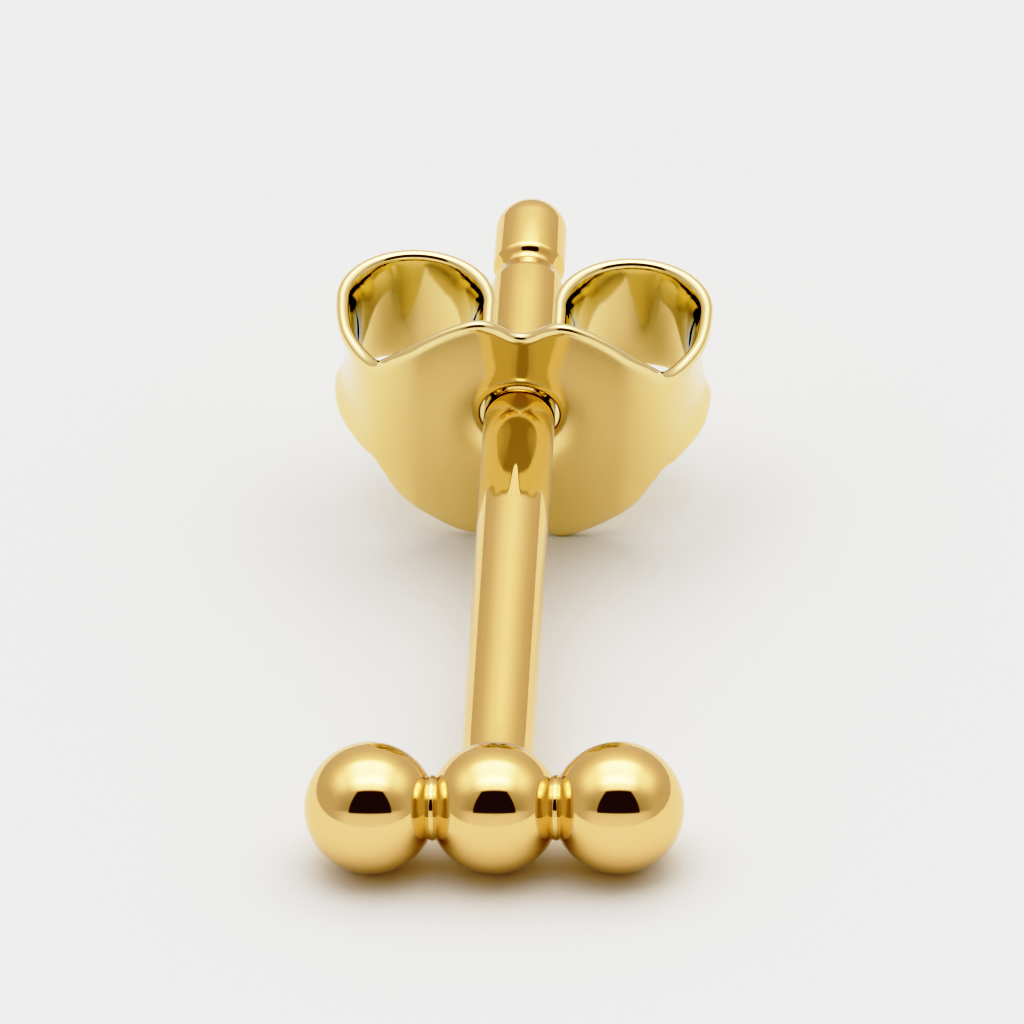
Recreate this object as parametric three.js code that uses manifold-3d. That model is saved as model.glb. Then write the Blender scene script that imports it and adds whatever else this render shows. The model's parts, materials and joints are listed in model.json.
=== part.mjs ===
// A stud earring: a bar of three beads on a post, and the butterfly back that holds it in the ear.
//
// Millimetres. Each piece is drawn in the post's own frame: X along the bar, Y along the post from
// the middle bead's centre to the tip, Z square to both. The whole is then tilted about X, so that it
// lies as it would on a table, on its beads and on the lower rim of its back.
import * as THREE from "three";
import { mergeVertices } from "three/addons/utils/BufferGeometryUtils.js";
import Module from "manifold-3d";

const wasm = await Module();
wasm.setup();

// The bar of beads
const BEAD_RADIUS = 0.826;
const BEAD_SPACING = 1.544;
const BEAD_CENTRES = [-BEAD_SPACING, 0, BEAD_SPACING];
const RING_RADIUS = 0.41;
const RING_HALF_WIDTH = 0.07;

// The post
const POST_RADIUS = 0.45;
const POST_LENGTH = 11.13;
const POST_ROOT = 0.3;
const TIP_FLAT_RADIUS = 0.15;
const GROOVE_CENTRE = 9.89;
const GROOVE_DEPTH = 0.085;
const GROOVE_TIP_SIDE = 0.18;
const GROOVE_BEAD_SIDE = 0.25;

// The sheet that the back is stamped from, and where it sits on the post
const SHEET = 0.17;
const BACK_PLACE = 7.226;
const BACK_TURN = 3.15;
const BACK_PITCH = 2.5;
const HOLE_RADIUS = 0.5;

// Outline of the flat blank, as half heights along its length
const CROWN_HEIGHT = 1.978;
const DIP_DEPTH = 0.433;
const DIP_WIDTH = 0.346;
const ARM_HEIGHT = 0.762;
const NOTCH_RISE = 0.133;
const NOTCH_EASE = 0.15;
const LOBE_ROUNDNESS = 1.824;
const LOBE_FALL = 0.898;
const END_ROUNDING = 0.25;

// Rolling of the blank: straight runs, and bends of a radius and an angle, from the hole outwards
const DISC_RUN = 1.637;
const ROLL = [
  { run: DISC_RUN },
  { radius: 0.25, degrees: 59.6 },
  { radius: 2.277, degrees: 30.4 },
  { radius: 0.8, degrees: 180 },
  { run: 0.5 },
  { radius: 0.6, degrees: 35 },
];

// Stamped depths of the sheet
const RIM_DEPTH = 0.227;
const RIM_POWER = 4;
const ARM_FLARE = 0.162;
const FLARE_POWER = 3;
const ARM_LEAN = 0.1;
const ARM_DROP = 0.12;
const NICK_DEPTH = 0.08;
const NICK_WIDTH = 0.14;
const DIMPLE_DEPTH = 0.24;
const DIMPLE_RADIUS = 0.62;
const DIMPLE_POWER = 4;

// Fineness of the facets
const BAR_SIDES = 36;
const BEAD_ARC_STEPS = 14;
const POST_SIDES = 32;
const GROOVE_STEPS = 4;
const TIP_STEPS = 6;
const DISC_STEP = 0.16;
const ARM_STEP = 0.18;
const NOTCH_INSETS = [0.22, 0.14, 0.08, 0.04, 0.015, 0, -0.06, -0.13];
const SHEET_ROWS = 14;

const GOLD = { color: "#d9b352", roughness: 0.12, metalness: 1 };

/** A closed solid of manifold-3d from a three.js geometry. */
function toSolid(geometry) {
  const bare = geometry.clone();
  bare.deleteAttribute("normal");
  bare.deleteAttribute("uv");
  const merged = mergeVertices(bare, 1e-5);
  const mesh = new wasm.Mesh({
    numProp: 3,
    vertProperties: new Float32Array(merged.attributes.position.array),
    triVerts: new Uint32Array(merged.index.array),
  });
  return new wasm.Manifold(mesh);
}

/** A three.js geometry from a solid of manifold-3d. */
function toGeometry(solid) {
  const mesh = solid.getMesh();
  const geometry = new THREE.BufferGeometry();
  geometry.setAttribute("position", new THREE.BufferAttribute(mesh.vertProperties, 3));
  geometry.setIndex(new THREE.BufferAttribute(mesh.triVerts, 1));
  geometry.computeVertexNormals();
  return geometry;
}

/** Radius of the turned bar at a place along it: the widest of its beads and rings there. */
function barRadius(place) {
  const beads = BEAD_CENTRES.map((centre) => BEAD_RADIUS ** 2 - (place - centre) ** 2);
  const mids = [-BEAD_SPACING / 2, BEAD_SPACING / 2];
  const rings = mids.map((mid) => {
    const rise = RING_HALF_WIDTH ** 2 - (place - mid) ** 2;
    return rise < 0 ? 0 : RING_RADIUS - RING_HALF_WIDTH + Math.sqrt(rise);
  });
  return Math.max(Math.sqrt(Math.max(0, ...beads)), ...rings);
}

/** Places along the bar where its profile is drawn: even steps round each bead, and each ring. */
function barPlaces() {
  const halfBar = BEAD_SPACING / 2;
  const places = [];
  for (const centre of BEAD_CENTRES) {
    for (let step = 0; step <= BEAD_ARC_STEPS; step++) {
      const offset = -BEAD_RADIUS * Math.cos((Math.PI * step) / BEAD_ARC_STEPS);
      const reach = Math.abs(centre + offset) > BEAD_SPACING ? BEAD_RADIUS : halfBar - RING_HALF_WIDTH;
      if (Math.abs(offset) <= reach) {
        places.push(centre + offset);
      }
    }
  }
  for (const mid of [-halfBar, halfBar]) {
    for (const share of [-0.85, -0.6, -0.3, 0, 0.3, 0.6, 0.85]) {
      places.push(mid + share * RING_HALF_WIDTH);
    }
  }
  return places.sort((a, b) => a - b);
}

/** The three beads and their rings, turned as one about X. */
function makeBar() {
  const places = barPlaces();
  const profile = places.map((place) => new THREE.Vector2(barRadius(place), place));
  profile[0].x = 0;
  profile[profile.length - 1].x = 0;
  const bar = new THREE.LatheGeometry(profile, BAR_SIDES);
  bar.rotateZ(-Math.PI / 2);
  return bar;
}

/** The post's profile: plain shank, rounded groove, and a domed tip with a small flat. */
function postProfile() {
  const profile = [new THREE.Vector2(0, POST_ROOT), new THREE.Vector2(POST_RADIUS, POST_ROOT)];
  for (const [width, way] of [[GROOVE_BEAD_SIDE, -1], [GROOVE_TIP_SIDE, 1]]) {
    for (let step = 0; step <= GROOVE_STEPS; step++) {
      const share = way < 0 ? 1 - step / GROOVE_STEPS : step / GROOVE_STEPS;
      const depth = GROOVE_DEPTH * (1 - THREE.MathUtils.smoothstep(share, 0, 1));
      profile.push(new THREE.Vector2(POST_RADIUS - depth, GROOVE_CENTRE + way * width * share));
    }
    if (way < 0) {
      profile.pop();
    }
  }
  const flatAngle = Math.acos(TIP_FLAT_RADIUS / POST_RADIUS);
  const domeCentre = POST_LENGTH - POST_RADIUS * Math.sin(flatAngle);
  for (let step = 0; step <= TIP_STEPS; step++) {
    const angle = (flatAngle * step) / TIP_STEPS;
    const radius = POST_RADIUS * Math.cos(angle);
    profile.push(new THREE.Vector2(radius, domeCentre + POST_RADIUS * Math.sin(angle)));
  }
  profile.push(new THREE.Vector2(0, POST_LENGTH));
  return profile;
}

/** The ear stud: the bar with the post soldered to the back of its middle bead. */
function makeStud() {
  const post = new THREE.LatheGeometry(postProfile(), POST_SIDES);
  return toGeometry(toSolid(makeBar()).add(toSolid(post)));
}

/** Length of one entry of the roll. */
function rollLength(part) {
  return part.run ?? part.radius * THREE.MathUtils.degToRad(part.degrees);
}

const ARM_LENGTH = ROLL.reduce((sum, part) => sum + rollLength(part), 0);
const NOTCH = DISC_RUN + rollLength(ROLL[1]) / 2;

/** Where the rolled sheet's middle line is at a length from the hole, and its heading there. */
function rolledLine(length) {
  let x = 0;
  let y = 0;
  let heading = 0;
  let left = length;
  for (const part of ROLL) {
    const last = part === ROLL[ROLL.length - 1];
    const going = last ? left : Math.min(left, rollLength(part));
    if (part.run) {
      x += going * Math.cos(heading);
      y += going * Math.sin(heading);
    } else {
      const turned = heading + going / part.radius;
      x += part.radius * (Math.sin(turned) - Math.sin(heading));
      y += part.radius * (Math.cos(heading) - Math.cos(turned));
      heading = turned;
    }
    left -= going;
    if (left <= 0) {
      break;
    }
  }
  return { x, y, heading };
}

/** Half height of the blank at a length from the hole: dip, lobe, notch, then the arm and its end. */
function halfHeight(length) {
  const notchHeight = ARM_HEIGHT + NOTCH_RISE;
  if (length < NOTCH) {
    const fall = (1 - (length / NOTCH) ** LOBE_ROUNDNESS) ** LOBE_FALL;
    const dip = DIP_DEPTH * Math.exp(-((length / DIP_WIDTH) ** 2));
    return notchHeight + (CROWN_HEIGHT - notchHeight) * fall - dip;
  }
  const rise = NOTCH_RISE * Math.exp((NOTCH - length) / NOTCH_EASE);
  const toEnd = Math.min(ARM_LENGTH - length, END_ROUNDING) / END_ROUNDING;
  return ARM_HEIGHT + rise - END_ROUNDING * (1 - Math.sqrt(1 - (1 - toEnd) ** 2));
}

/** A point of the sheet's middle surface, at a signed length from the hole and a height. */
function sheetPoint(length, height) {
  const side = length < 0 ? -1 : 1;
  const { x, y, heading } = rolledLine(Math.abs(length));
  const onArm = THREE.MathUtils.smoothstep(Math.abs(length), NOTCH - 0.1, NOTCH + 0.9);
  const onDisc = 1 - THREE.MathUtils.smoothstep(Math.abs(length), NOTCH - 0.5, NOTCH + 0.1);
  const fromHole = Math.hypot(length, height);
  const sideways = onArm * Math.sin(heading) ** 2;
  const flare = ARM_FLARE * sideways * (Math.abs(height) / ARM_HEIGHT) ** FLARE_POWER;
  const rim = RIM_DEPTH * onDisc * (fromHole / CROWN_HEIGHT) ** RIM_POWER;
  const dimple = DIMPLE_DEPTH * Math.exp(-((fromHole / DIMPLE_RADIUS) ** DIMPLE_POWER));
  const backward = Math.max(0, -Math.cos(heading));
  const lean = ARM_LEAN * backward * height;
  const drop = ARM_DROP * backward * (1 - height / ARM_HEIGHT) / 2;
  const besideNotch = (Math.abs(length) - NOTCH) / NICK_WIDTH;
  const nick = NICK_DEPTH * Math.exp(-(besideNotch ** 2)) * (Math.min(height, 0) / ARM_HEIGHT) ** 2;
  const out = flare + rim + lean - dimple;
  return new THREE.Vector3(
    side * (x + out * Math.sin(heading)),
    y - out * Math.cos(heading),
    height - drop + nick,
  );
}

/** The sheet's outward normal, towards the beads on the disc and out of the loop on the arms. */
function sheetNormal(length, height) {
  const small = 1e-3;
  const along = sheetPoint(length + small, height).sub(sheetPoint(length - small, height));
  const across = sheetPoint(length, height + small).sub(sheetPoint(length, height - small));
  return along.cross(across).normalize();
}

/** Half the sheet's thickness at a distance from its edge, which is polished full round. */
function halfThickness(fromEdge) {
  const share = Math.min(fromEdge / (SHEET / 2), 1);
  return (SHEET / 2) * Math.sqrt(1 - (1 - share) ** 2);
}

/** Lengths along one arm where the sheet has a column of points. */
function armStations() {
  const edge = [0.3 * SHEET, 0.08 * SHEET, 0].map((inset) => ARM_LENGTH - inset);
  const stations = [];
  for (let length = DISC_STEP; length < NOTCH - 0.3; length += DISC_STEP) {
    stations.push(length);
  }
  stations.push(...NOTCH_INSETS.map((inset) => NOTCH - inset));
  const start = NOTCH - NOTCH_INSETS[NOTCH_INSETS.length - 1];
  const steps = Math.round((edge[0] - start) / ARM_STEP);
  for (let step = 1; step < steps; step++) {
    stations.push(start + ((edge[0] - start) * step) / steps);
  }
  return [...stations, ...edge];
}

/** Heights of the points of one column, closer together at its round edges. */
function columnHeights(length) {
  const reach = halfHeight(Math.abs(length));
  const insets = [0, 0.15, 0.5].map((share) => share * SHEET);
  const inner = reach - insets[insets.length - 1];
  const heights = insets.map((inset) => -(reach - inset));
  for (let row = 1; row < SHEET_ROWS; row++) {
    heights.push(inner * ((2 * row) / SHEET_ROWS - 1));
  }
  return [...heights, ...insets.map((inset) => reach - inset).reverse()];
}

/** The stamped and rolled sheet before its hole is pierced: two skins that meet all round. */
function makeSheet() {
  const arm = armStations();
  const stations = [...arm.map((length) => -length).reverse(), 0, ...arm];
  const rows = columnHeights(0).length;
  const positions = [];
  for (const length of stations) {
    const toEnd = ARM_LENGTH - Math.abs(length);
    for (const height of columnHeights(length)) {
      const toSide = halfHeight(Math.abs(length)) - Math.abs(height);
      const half = halfThickness(Math.max(0, Math.min(toEnd, toSide)));
      const middle = sheetPoint(length, height);
      const normal = sheetNormal(length, height);
      for (const skin of [1, -1]) {
        positions.push(...middle.clone().addScaledVector(normal, skin * half).toArray());
      }
    }
  }
  const index = [];
  const corner = (column, row, skin) => 2 * (column * rows + row) + skin;
  for (let column = 0; column < stations.length - 1; column++) {
    for (let row = 0; row < rows - 1; row++) {
      for (const skin of [0, 1]) {
        const a = corner(column, row, skin);
        const b = corner(column + 1, row, skin);
        const c = corner(column + 1, row + 1, skin);
        const d = corner(column, row + 1, skin);
        index.push(...(skin === 0 ? [a, b, c, a, c, d] : [a, c, b, a, d, c]));
      }
    }
  }
  const sheet = new THREE.BufferGeometry();
  sheet.setAttribute("position", new THREE.Float32BufferAttribute(positions, 3));
  sheet.setIndex(index);
  return sheet;
}

/** Turns a thing in the sheet's frame into the place where the back hangs on the post. */
function hangBack(thing) {
  const pitch = new THREE.Matrix4().makeRotationX(THREE.MathUtils.degToRad(BACK_PITCH));
  const turn = new THREE.Matrix4().makeRotationY(THREE.MathUtils.degToRad(BACK_TURN));
  const place = new THREE.Matrix4().makeTranslation(0, BACK_PLACE, 0);
  return thing.applyMatrix4(place.multiply(turn).multiply(pitch));
}

/** The butterfly back: the rolled sheet, with the hole that the post runs through. */
function makeBack() {
  const punch = new THREE.CylinderGeometry(HOLE_RADIUS, HOLE_RADIUS, 8 * SHEET, POST_SIDES);
  return hangBack(toGeometry(toSolid(makeSheet()).subtract(toSolid(punch))));
}

/** Angle by which the post rises when the stud lies on its beads and on the rim of its back. */
function restTilt() {
  const drop = BEAD_RADIUS - SHEET / 2;
  let tilt = 0;
  for (let length = -NOTCH; length < NOTCH; length += 0.01) {
    const height = SHEET / 2 - halfHeight(Math.abs(length));
    const rim = hangBack(sheetPoint(length, height));
    const fall = Math.atan2(-rim.z, rim.y) - Math.asin(drop / Math.hypot(rim.y, rim.z));
    tilt = Math.max(tilt, fall);
  }
  return tilt;
}

/** A named piece in its own gold. */
function makePiece(name, geometry) {
  const piece = new THREE.Mesh(geometry, new THREE.MeshStandardMaterial(GOLD));
  piece.name = name;
  return piece;
}

/** The earring lying at rest, with the middle of its footprint at the origin. */
function makeEarring() {
  const pieces = new THREE.Group();
  pieces.add(makePiece("ear_stud", makeStud()));
  pieces.add(makePiece("butterfly_back", makeBack()));
  pieces.rotation.x = restTilt();
  const bounds = new THREE.Box3().setFromObject(pieces, true);
  const middle = bounds.getCenter(new THREE.Vector3());
  pieces.position.set(-middle.x, -middle.y, -bounds.min.z);
  return new THREE.Group().add(pieces);
}

export default makeEarring();
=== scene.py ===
"""Looks of a stud earring: a bar of three beads on a grooved post, held by its butterfly back.

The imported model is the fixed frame. Each sub-assembly is a class that repeats the real sizes in
millimetres, builds a fine mesh over its CAD node and gives it its finish.
"""

import json
import logging
import math
from dataclasses import dataclass
from enum import Enum

import bpy
import numpy as np
from mathutils import Matrix, Vector

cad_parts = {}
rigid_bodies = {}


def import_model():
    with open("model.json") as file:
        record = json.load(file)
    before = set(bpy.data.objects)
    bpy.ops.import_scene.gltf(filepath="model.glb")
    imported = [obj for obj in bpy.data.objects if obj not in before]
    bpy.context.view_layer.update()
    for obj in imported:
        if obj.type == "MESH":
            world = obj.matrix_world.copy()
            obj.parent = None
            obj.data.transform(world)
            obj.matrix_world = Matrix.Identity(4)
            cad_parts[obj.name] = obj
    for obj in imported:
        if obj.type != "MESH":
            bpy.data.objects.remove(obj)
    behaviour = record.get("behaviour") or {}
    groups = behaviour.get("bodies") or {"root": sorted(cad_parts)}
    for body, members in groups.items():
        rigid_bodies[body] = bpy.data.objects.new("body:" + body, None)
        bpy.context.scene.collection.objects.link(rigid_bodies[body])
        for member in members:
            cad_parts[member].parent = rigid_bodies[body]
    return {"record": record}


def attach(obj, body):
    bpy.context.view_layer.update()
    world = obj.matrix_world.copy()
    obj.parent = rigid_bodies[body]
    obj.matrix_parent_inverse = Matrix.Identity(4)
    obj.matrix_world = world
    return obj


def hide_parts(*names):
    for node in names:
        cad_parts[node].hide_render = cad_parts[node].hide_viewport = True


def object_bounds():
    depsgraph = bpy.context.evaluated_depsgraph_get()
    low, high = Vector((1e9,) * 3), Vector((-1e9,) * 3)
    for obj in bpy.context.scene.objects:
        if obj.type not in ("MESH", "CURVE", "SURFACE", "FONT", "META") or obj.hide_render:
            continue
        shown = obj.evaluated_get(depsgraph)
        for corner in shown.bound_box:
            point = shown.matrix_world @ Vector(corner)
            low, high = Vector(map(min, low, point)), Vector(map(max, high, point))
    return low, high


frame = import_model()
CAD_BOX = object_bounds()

Tree = bpy.types.NodeTree
Socket = bpy.types.NodeSocket
Faces = list[tuple[int, ...]]

LOG = logging.getLogger("stud_earring")
MM = 0.001
HALF_TURN = 180.0


class Side(Enum):
    """The two sides of the earring, along the bar."""

    LEFT = -1
    RIGHT = 1


class Body(Enum):
    """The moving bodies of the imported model."""

    STUD = "stud"
    BACK = "back"


class Skin(Enum):
    """The two faces of the stamped sheet: towards the beads, and away from them."""

    FRONT = 1
    REAR = -1


# ---------------------------------------------------------------- small shared functions


def linear(code: str) -> tuple[float, float, float, float]:
    """Turns an sRGB hex colour into the linear colour that a shader takes.

    Args:
        code: the colour as "#rrggbb".

    Returns:
        Red, green, blue and alpha, linear.
    """
    parts = [int(code[at : at + 2], 16) / 255 for at in (1, 3, 5)]
    return tuple(p / 12.92 if p <= 0.04045 else ((p + 0.055) / 1.055) ** 2.4 for p in parts) + (1.0,)


def smoothstep(value: np.ndarray, low: float, high: float) -> np.ndarray:
    """Eases from 0 at low to 1 at high.

    Args:
        value: the numbers to ease.
        low: where the ease starts.
        high: where it ends.

    Returns:
        The eased numbers, from 0 to 1.
    """
    share = np.clip((value - low) / (high - low), 0, 1)
    return share * share * (3 - 2 * share)


def repeats(size: float) -> float:
    """How often a pattern of a size in millimetres repeats in a metre."""
    return 1 / (size * MM)


def add_node(
    tree: Tree, kind: str, settings: dict | None = None, inputs: dict | None = None
) -> bpy.types.Node:
    """Adds one node, with its settings, fixed inputs and links.

    Args:
        tree: the node tree that takes the node.
        kind: the node's type, without its ShaderNode prefix.
        settings: values of the node's own properties.
        inputs: for an input's name or number, a fixed value or the output that feeds it.

    Returns:
        The new node.
    """
    node = tree.nodes.new("ShaderNode" + kind)
    for name, value in (settings or {}).items():
        setattr(node, name, value)
    for name, value in (inputs or {}).items():
        if isinstance(value, Socket):
            tree.links.new(value, node.inputs[name])
        else:
            node.inputs[name].default_value = value
    return node


def ramp_stops(node: bpy.types.Node, stops: list[tuple[float, float]]) -> None:
    """Gives a colour ramp its grey stops.

    Args:
        node: the colour ramp's node.
        stops: each stop's place and level, in order of place.
    """
    elements = node.color_ramp.elements
    while len(elements) < len(stops):
        elements.new(1.0)
    for element, (place, level) in zip(elements, stops):
        element.position = place
        element.color = (level, level, level, 1)


def net_faces(shape: tuple[int, ...], start: int = 0) -> Faces:
    """Quads of a net of points.

    Args:
        shape: the net's two counts.
        start: the number of its first point.

    Returns:
        The quads, all wound the same way.
    """
    high, wide = shape[:2]
    rows = [start + row * wide for row in range(high - 1)]
    corners = [row + column for row in rows for column in range(wide - 1)]
    return [(a, a + 1, a + 1 + wide, a + wide) for a in corners]


def make_mesh(name: str, points: np.ndarray, faces: Faces) -> bpy.types.Mesh:
    """Makes a smooth mesh from points in metres.

    Args:
        name: the mesh's name.
        points: the vertices, one row each.
        faces: the faces' vertex numbers.

    Returns:
        The mesh, validated and shaded smooth.
    """
    mesh = bpy.data.meshes.new(name)
    mesh.from_pydata(points.tolist(), [], faces)
    mesh.validate()
    mesh.shade_smooth()
    mesh.update()
    return mesh


def add_object(name: str, mesh: bpy.types.Mesh) -> bpy.types.Object:
    """Puts a mesh into the scene.

    Args:
        name: the object's name.
        mesh: what it shows.

    Returns:
        The object.
    """
    thing = bpy.data.objects.new(name, mesh)
    bpy.context.scene.collection.objects.link(thing)
    return thing


@dataclass(frozen=True)
class PostFrame:
    """The post's own frame: X along the bar, Y along the post towards its tip, Z square to both."""

    origin: np.ndarray
    along: np.ndarray

    @classmethod
    def of_record(cls, record: dict, post_length: float) -> "PostFrame":
        """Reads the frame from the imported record.

        Args:
            record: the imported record.
            post_length: from the middle bead's centre to the tip's flat, in millimetres.

        Returns:
            The frame, with its origin at the middle bead's centre.
        """
        along = np.array(record["behaviour"]["joints"][0]["axis"], float)
        tip = np.array(record["mounts"][0]["pos_m"], float)
        return cls(tip - along * post_length * MM, along)

    def place(self, points: np.ndarray) -> np.ndarray:
        """Moves points from the post's frame to the row frame.

        Args:
            points: places in the post's frame, in millimetres.

        Returns:
            The places in the row frame, in metres.
        """
        bar = np.array([1.0, 0.0, 0.0])
        turn = np.stack([bar, self.along, np.cross(bar, self.along)])
        return self.origin + points @ turn * MM


def lathe(profile: np.ndarray, sides: int) -> tuple[np.ndarray, Faces]:
    """Turns a profile about Y into a closed skin with a point at each end.

    Args:
        profile: radius and place of each point, both ends on the axis.
        sides: the number of facets round the axis.

    Returns:
        The vertices and the faces, wound outwards for a profile that runs towards +Y.
    """
    turn = np.arange(sides) * 2 * np.pi / sides
    rings = profile[1:-1]
    x = rings[:, :1] * np.sin(turn)
    z = rings[:, :1] * np.cos(turn)
    y = np.repeat(rings[:, 1:], sides, axis=1)
    body = np.stack([x, y, z], axis=-1).reshape(-1, 3)
    ends = [[0, profile[0, 1], 0], [0, profile[-1, 1], 0]]
    points = np.vstack([body, ends])
    first, last = len(body), len(body) + 1
    top = (len(rings) - 1) * sides
    faces = []
    for at in range(sides):
        after = (at + 1) % sides
        faces.append((first, after, at))
        faces.append((last, top + at, top + after))
        for low in range(0, top, sides):
            faces.append((low + at, low + after, low + sides + after, low + sides + at))
    return points, faces


def arc(centre: tuple[float, float], radius: float, start: float, end: float, steps: int) -> np.ndarray:
    """Points on an arc of a lathe profile.

    Args:
        centre: radius and place of the arc's centre.
        radius: the arc's own radius.
        start: the first angle, in degrees from straight out, positive towards +Y.
        end: the last angle.
        steps: the number of steps between them.

    Returns:
        Radius and place of each point, both ends included.
    """
    angle = np.radians(np.linspace(start, end, steps + 1))
    return np.stack([centre[0] + radius * np.cos(angle), centre[1] + radius * np.sin(angle)], axis=1)


# ---------------------------------------------------------------- finishes


@dataclass(frozen=True)
class Finish:
    """A procedural material whose pattern is fixed to the piece."""

    name: str

    def make(self) -> bpy.types.Material:
        """Builds the material.

        Returns:
            The finished material.
        """
        material = bpy.data.materials.new(self.name)
        material.use_nodes = True
        tree = material.node_tree
        tree.nodes.clear()
        place = add_node(tree, "TexCoord").outputs["Object"]
        shader = add_node(tree, "BsdfPrincipled", inputs=self.surface(tree, place))
        add_node(tree, "OutputMaterial", inputs={"Surface": shader.outputs["BSDF"]})
        return material

    def surface(self, tree: Tree, place: Socket) -> dict[str, Socket | float]:
        """What the surface does with light.

        Args:
            tree: the material's nodes.
            place: the texture coordinates.

        Returns:
            The shader's inputs, by name.
        """
        raise NotImplementedError


@dataclass(frozen=True)
class GoldPlate(Finish):
    """Gold plate over polished sterling silver.

    Plating copies the polish under it, so it mirrors crisply, with the faint swell of hand
    polishing, hair-fine tumbling marks, and a richer colour where the layer is a little thicker.
    """

    gold: str
    deep_gold: str
    rubbed_gold: str
    roughness: float
    roughness_spread: float
    cloud_size: float
    swell_size: float
    swell_height: float
    mark_length: float
    mark_width: float
    mark_height: float
    mark_turn: tuple[float, float, float] = (0.4, 0.3, 0.7)
    haze_fineness: float = 3.0
    haze_range: tuple[float, float] = (0.3, 0.7)

    def surface(self, tree: Tree, place: Socket) -> dict[str, Socket | float]:
        """Mirroring metal.

        Args:
            tree: the material's nodes.
            place: the texture coordinates.

        Returns:
            The shader's inputs, by name.
        """
        return {
            "Base Color": self.colour(tree, place),
            "Metallic": 1.0,
            "Roughness": self.gloss(tree, place),
            "Normal": self.relief(tree, place),
        }

    def colour(self, tree: Tree, place: Socket) -> Socket:
        """Clouds of slightly richer plate, and paler gold where edges are rubbed.

        Args:
            tree: the material's nodes.
            place: the texture coordinates.

        Returns:
            The colour output.
        """
        cloud = add_node(
            tree,
            "TexNoise",
            inputs={
                "Vector": place,
                "Scale": repeats(self.cloud_size),
                "Detail": 3.0,
                "Roughness": 0.55,
            },
        )
        plate = add_node(
            tree,
            "Mix",
            {"data_type": "RGBA"},
            {0: cloud.outputs["Fac"], 6: linear(self.gold), 7: linear(self.deep_gold)},
        )
        rubbed = add_node(tree, "Attribute", {"attribute_name": "rubbed"})
        worn = add_node(
            tree,
            "Mix",
            {"data_type": "RGBA"},
            {0: rubbed.outputs["Fac"], 6: plate.outputs[2], 7: linear(self.rubbed_gold)},
        )
        return worn.outputs[2]

    def gloss(self, tree: Tree, place: Socket) -> Socket:
        """Roughness that drifts gently over the polish.

        Args:
            tree: the material's nodes.
            place: the texture coordinates.

        Returns:
            The roughness output.
        """
        haze = add_node(
            tree,
            "TexNoise",
            inputs={
                "Vector": place,
                "Scale": self.haze_fineness * repeats(self.cloud_size),
                "Detail": 4.0,
            },
        )
        spread = add_node(
            tree,
            "MapRange",
            inputs={
                "Value": haze.outputs["Fac"],
                "From Min": self.haze_range[0],
                "From Max": self.haze_range[1],
                "To Min": self.roughness - self.roughness_spread,
                "To Max": self.roughness + self.roughness_spread,
            },
        )
        return spread.outputs["Result"]

    def relief(self, tree: Tree, place: Socket) -> Socket:
        """The swell of hand polishing, with hair-fine tumbling marks on it.

        Args:
            tree: the material's nodes.
            place: the texture coordinates.

        Returns:
            The normal output.
        """
        swell = add_node(
            tree,
            "TexNoise",
            inputs={"Vector": place, "Scale": repeats(self.swell_size), "Detail": 1.0},
        )
        swollen = add_node(
            tree,
            "Bump",
            inputs={"Distance": self.swell_height * MM, "Height": swell.outputs["Fac"]},
        )
        sizes = (self.mark_length, self.mark_width, self.mark_width)
        turned = add_node(
            tree,
            "Mapping",
            inputs={
                "Vector": place,
                "Rotation": self.mark_turn,
                "Scale": tuple(repeats(size) for size in sizes),
            },
        )
        marks = add_node(
            tree,
            "TexNoise",
            inputs={"Vector": turned.outputs["Vector"], "Scale": 1.0, "Detail": 2.0, "Distortion": 0.6},
        )
        marked = add_node(
            tree,
            "Bump",
            inputs={
                "Distance": self.mark_height * MM,
                "Height": marks.outputs["Fac"],
                "Normal": swollen.outputs["Normal"],
            },
        )
        return marked.outputs["Normal"]


# Cast beads and drawn wire, barrel polished and plated: a near perfect mirror, softened only by the
# swell that polishing leaves. The marks are drawn wider than real tumbling marks, so that they show.
MIRROR_PLATE = GoldPlate(
    name="gold_plate_mirror_polished",
    gold="#F8D6A2",
    deep_gold="#F6D199",
    rubbed_gold="#F9DAAC",
    roughness=0.06,
    roughness_spread=0.015,
    cloud_size=1.6,
    swell_size=0.9,
    swell_height=0.002,
    mark_length=0.5,
    mark_width=0.03,
    mark_height=0.00004,
)

# Thin sheet, stamped, rolled and tumble polished before plating: as bright as the beads, but the
# sheet's gentle waves bend what it mirrors, and its edges are rubbed a little paler.
TUMBLED_PLATE = GoldPlate(
    name="gold_plate_tumbled_sheet",
    gold="#FADFAC",
    deep_gold="#F8DBA6",
    rubbed_gold="#FBE2B3",
    roughness=0.09,
    roughness_spread=0.02,
    cloud_size=1.3,
    swell_size=0.7,
    swell_height=0.004,
    mark_length=0.4,
    mark_width=0.03,
    mark_height=0.00006,
)


@dataclass(frozen=True)
class SweepPaper(Finish):
    """Matt white background paper, calendered: even and pale, with a faint fibre grain."""

    name: str = "matt_white_paper"
    light_paper: str = "#FBFBFA"
    dark_paper: str = "#F9F9F8"
    roughness: float = 0.9
    fibre_size: float = 0.12

    def surface(self, tree: Tree, place: Socket) -> dict[str, Socket | float]:
        """Matt fibre.

        Args:
            tree: the material's nodes.
            place: the texture coordinates.

        Returns:
            The shader's inputs, by name.
        """
        fibre = add_node(
            tree,
            "TexNoise",
            inputs={"Vector": place, "Scale": repeats(self.fibre_size), "Detail": 3.0},
        )
        colour = add_node(
            tree,
            "Mix",
            {"data_type": "RGBA"},
            {0: fibre.outputs["Fac"], 6: linear(self.light_paper), 7: linear(self.dark_paper)},
        )
        return {"Base Color": colour.outputs[2], "Roughness": self.roughness, "Specular IOR Level": 0.0}


# ---------------------------------------------------------------- the ear stud


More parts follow.
